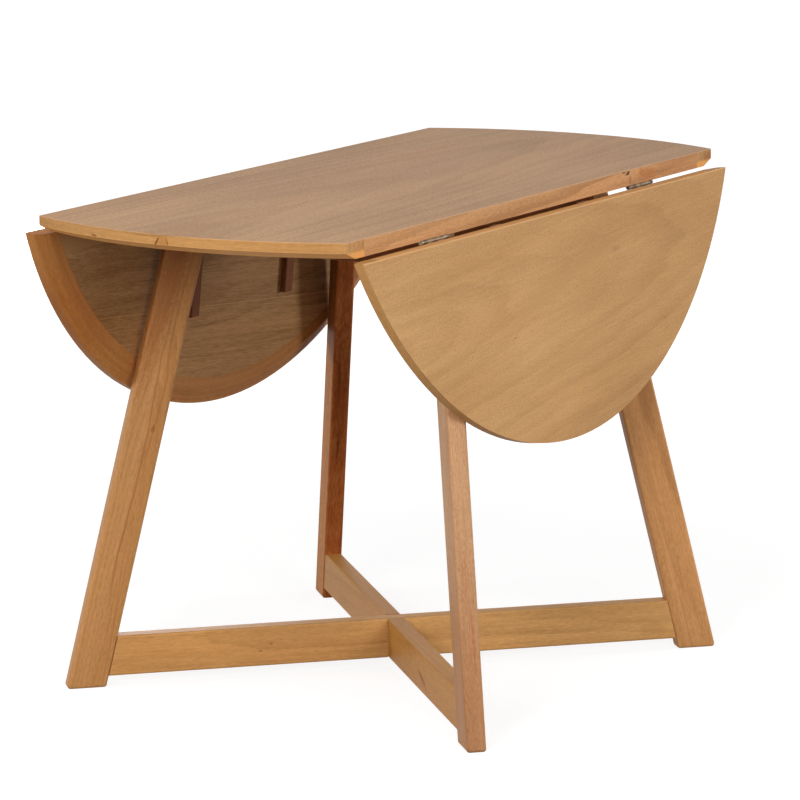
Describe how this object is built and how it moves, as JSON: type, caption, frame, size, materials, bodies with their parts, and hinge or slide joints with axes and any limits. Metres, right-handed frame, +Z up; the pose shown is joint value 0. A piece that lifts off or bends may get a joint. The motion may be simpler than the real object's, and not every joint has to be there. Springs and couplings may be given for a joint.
{
  "type": "butterfly folding table",
  "caption": "Round drop-leaf table: half-moon leaves hinged to a fixed middle board hang against splayed legs joined by crossed stretchers.",
  "frame": {"origin": "on the floor, in the middle between the four feet, under the middle of the top", "axes": "+Z up; +Y along the hinge lines, the top's longest way; +X across the leaves, which hang at -X and +X. Front is -Y."},
  "size_m": [0.7406, 1.2, 0.756],
  "materials": {
    "leg_wood": "satin oiled hardwood, long grain",
    "stretcher_wood": "satin oiled hardwood, long grain",
    "apron_wood": "satin oiled hardwood, long grain",
    "block_wood": "plain sawn, unpolished",
    "dowel_wood": "plain beech",
    "bar_wood": "planed, unpolished",
    "guide_wood": "planed, unpolished",
    "board_core": "jointed core, hidden",
    "face_veneer": "satin lacquered, fine straight grain",
    "back_veneer": "satin lacquered, two sheets with a seam",
    "edge_wood": "satin lacquered hardwood",
    "hinge_steel": "plated, satin",
    "pin_steel": "turned",
    "fastener_steel": "zinc plated"
  },
  "bodies": {
    "base": {"apron_back": "apron_wood", "apron_front": "apron_wood", "apron_left": "apron_wood", "apron_right": "apron_wood", "apron_screws": "fastener_steel", "corner_block_back_left": "block_wood", "corner_block_back_right": "block_wood", "corner_block_front_left": "block_wood", "corner_block_front_right": "block_wood", "cross_stretcher_lower": "stretcher_wood", "cross_stretcher_upper": "stretcher_wood", "hinge_left_back_top_plate": "hinge_steel", "hinge_left_front_top_plate": "hinge_steel", "hinge_pins_left": "pin_steel", "hinge_pins_right": "pin_steel", "hinge_right_back_top_plate": "hinge_steel", "hinge_right_front_top_plate": "hinge_steel", "hinge_top_screws": "fastener_steel", "lap_screw": "fastener_steel", "leg_back_left": "leg_wood", "leg_back_right": "leg_wood", "leg_bolt_nuts": "fastener_steel", "leg_bolts": "fastener_steel", "leg_front_left": "leg_wood", "leg_front_right": "leg_wood", "middle_back_veneer": "back_veneer", "middle_core": "board_core", "middle_face_veneer": "face_veneer", "middle_lip_left": "edge_wood", "middle_lip_right": "edge_wood", "middle_rim_back": "edge_wood", "middle_rim_front": "edge_wood", "stretcher_dowels": "dowel_wood", "top_screws": "fastener_steel"},
    "leaf_left": {"bar_guides_left": "guide_wood", "hinge_left_back_leaf_plate": "hinge_steel", "hinge_left_front_leaf_plate": "hinge_steel", "leaf_left_back_veneer": "back_veneer", "leaf_left_core": "board_core", "leaf_left_face_veneer": "face_veneer", "leaf_left_lip": "edge_wood", "leaf_left_rim": "edge_wood", "leaf_left_screws": "fastener_steel"},
    "leaf_right": {"bar_guides_right": "guide_wood", "hinge_right_back_leaf_plate": "hinge_steel", "hinge_right_front_leaf_plate": "hinge_steel", "leaf_right_back_veneer": "back_veneer", "leaf_right_core": "board_core", "leaf_right_face_veneer": "face_veneer", "leaf_right_lip": "edge_wood", "leaf_right_rim": "edge_wood", "leaf_right_screws": "fastener_steel"},
    "bar_right_front": {"support_bar_right_front": "bar_wood", "bar_stop_pin_right_front": "pin_steel"},
    "bar_right_back": {"support_bar_right_back": "bar_wood", "bar_stop_pin_right_back": "pin_steel"},
    "bar_left_front": {"support_bar_left_front": "bar_wood", "bar_stop_pin_left_front": "pin_steel"},
    "bar_left_back": {"support_bar_left_back": "bar_wood", "bar_stop_pin_left_back": "pin_steel"}
  },
  "joints": [
    {"name": "leaf_right_hinge", "type": "hinge", "parent": "base", "child": "leaf_right", "pos_m": [0.2603, 0, 0.7285], "axis": [0, -1, 0], "range_deg": [0, 84.01]},
    {"name": "leaf_left_hinge", "type": "hinge", "parent": "base", "child": "leaf_left", "pos_m": [-0.2603, 0, 0.7285], "axis": [0, 1, 0], "range_deg": [0, 84.01]},
    {"name": "bar_right_front_slide", "type": "slide", "parent": "leaf_right", "child": "bar_right_front", "axis": [0.1044, 0, -0.9945], "range_m": [0, 0.022]},
    {"name": "bar_right_back_slide", "type": "slide", "parent": "leaf_right", "child": "bar_right_back", "axis": [0.1044, 0, -0.9945], "range_m": [0, 0.022]},
    {"name": "bar_left_front_slide", "type": "slide", "parent": "leaf_left", "child": "bar_left_front", "axis": [-0.1044, 0, -0.9945], "range_m": [0, 0.022]},
    {"name": "bar_left_back_slide", "type": "slide", "parent": "leaf_left", "child": "bar_left_back", "axis": [-0.1044, 0, -0.9945], "range_m": [0, 0.022]}
  ]
}
